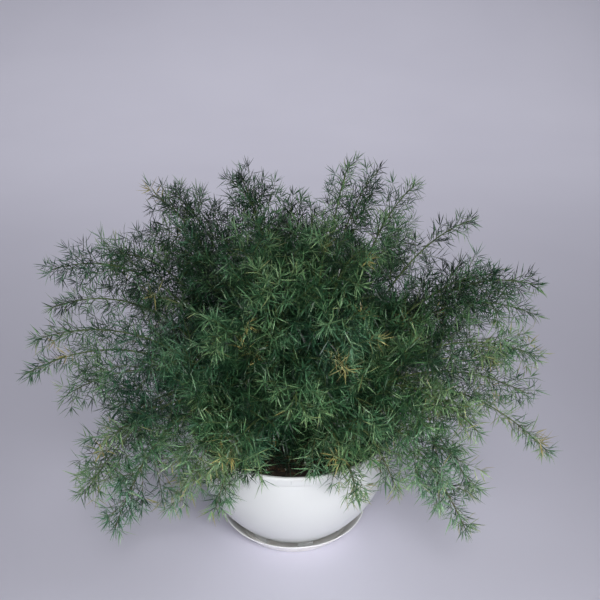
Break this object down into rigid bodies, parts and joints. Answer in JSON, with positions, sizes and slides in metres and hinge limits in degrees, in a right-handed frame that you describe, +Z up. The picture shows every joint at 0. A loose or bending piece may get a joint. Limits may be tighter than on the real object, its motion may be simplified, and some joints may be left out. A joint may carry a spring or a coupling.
{
  "type": "potted sprengeri fern",
  "caption": "Bushy arching fern with needle-leaved fronds, growing in a round plastic bowl with a notched foot that stands in a shallow saucer.",
  "frame": {"origin": "middle of the saucer's flat underside, on the surface that the object stands on", "axes": "+Z up through the middle of the pot, +X along the plant's widest spread, -Y towards the picture's viewer"},
  "size_m": [0.6, 0.4202, 0.4587],
  "materials": {
    "pot": "smooth white moulded plastic, soft gloss",
    "saucer": "smooth white moulded plastic, soft gloss",
    "soil": "damp dark potting soil",
    "foliage": "dark green needle leaves with lighter tips, slight sheen"
  },
  "bodies": {
    "root": {"pot": "pot", "saucer": "saucer", "soil": "soil", "frond_01": "foliage", "frond_02": "foliage", "frond_03": "foliage", "frond_04": "foliage", "frond_05": "foliage", "frond_06": "foliage", "frond_07": "foliage", "frond_08": "foliage", "frond_09": "foliage", "frond_10": "foliage", "frond_11": "foliage", "frond_12": "foliage", "frond_13": "foliage", "frond_14": "foliage", "frond_15": "foliage", "frond_16": "foliage", "frond_17": "foliage", "frond_18": "foliage", "frond_19": "foliage", "frond_20": "foliage", "frond_21": "foliage", "frond_22": "foliage", "frond_23": "foliage", "frond_24": "foliage", "frond_25": "foliage", "frond_26": "foliage", "frond_27": "foliage", "frond_28": "foliage", "frond_29": "foliage", "frond_30": "foliage", "frond_31": "foliage", "frond_32": "foliage", "frond_33": "foliage", "frond_34": "foliage", "frond_35": "foliage", "frond_36": "foliage", "frond_37": "foliage", "frond_38": "foliage", "frond_39": "foliage", "frond_40": "foliage", "frond_41": "foliage", "frond_42": "foliage", "frond_43": "foliage", "frond_44": "foliage", "frond_45": "foliage", "frond_46": "foliage", "frond_47": "foliage", "frond_48": "foliage", "frond_49": "foliage", "frond_50": "foliage", "frond_51": "foliage"}
  },
  "joints": []
}
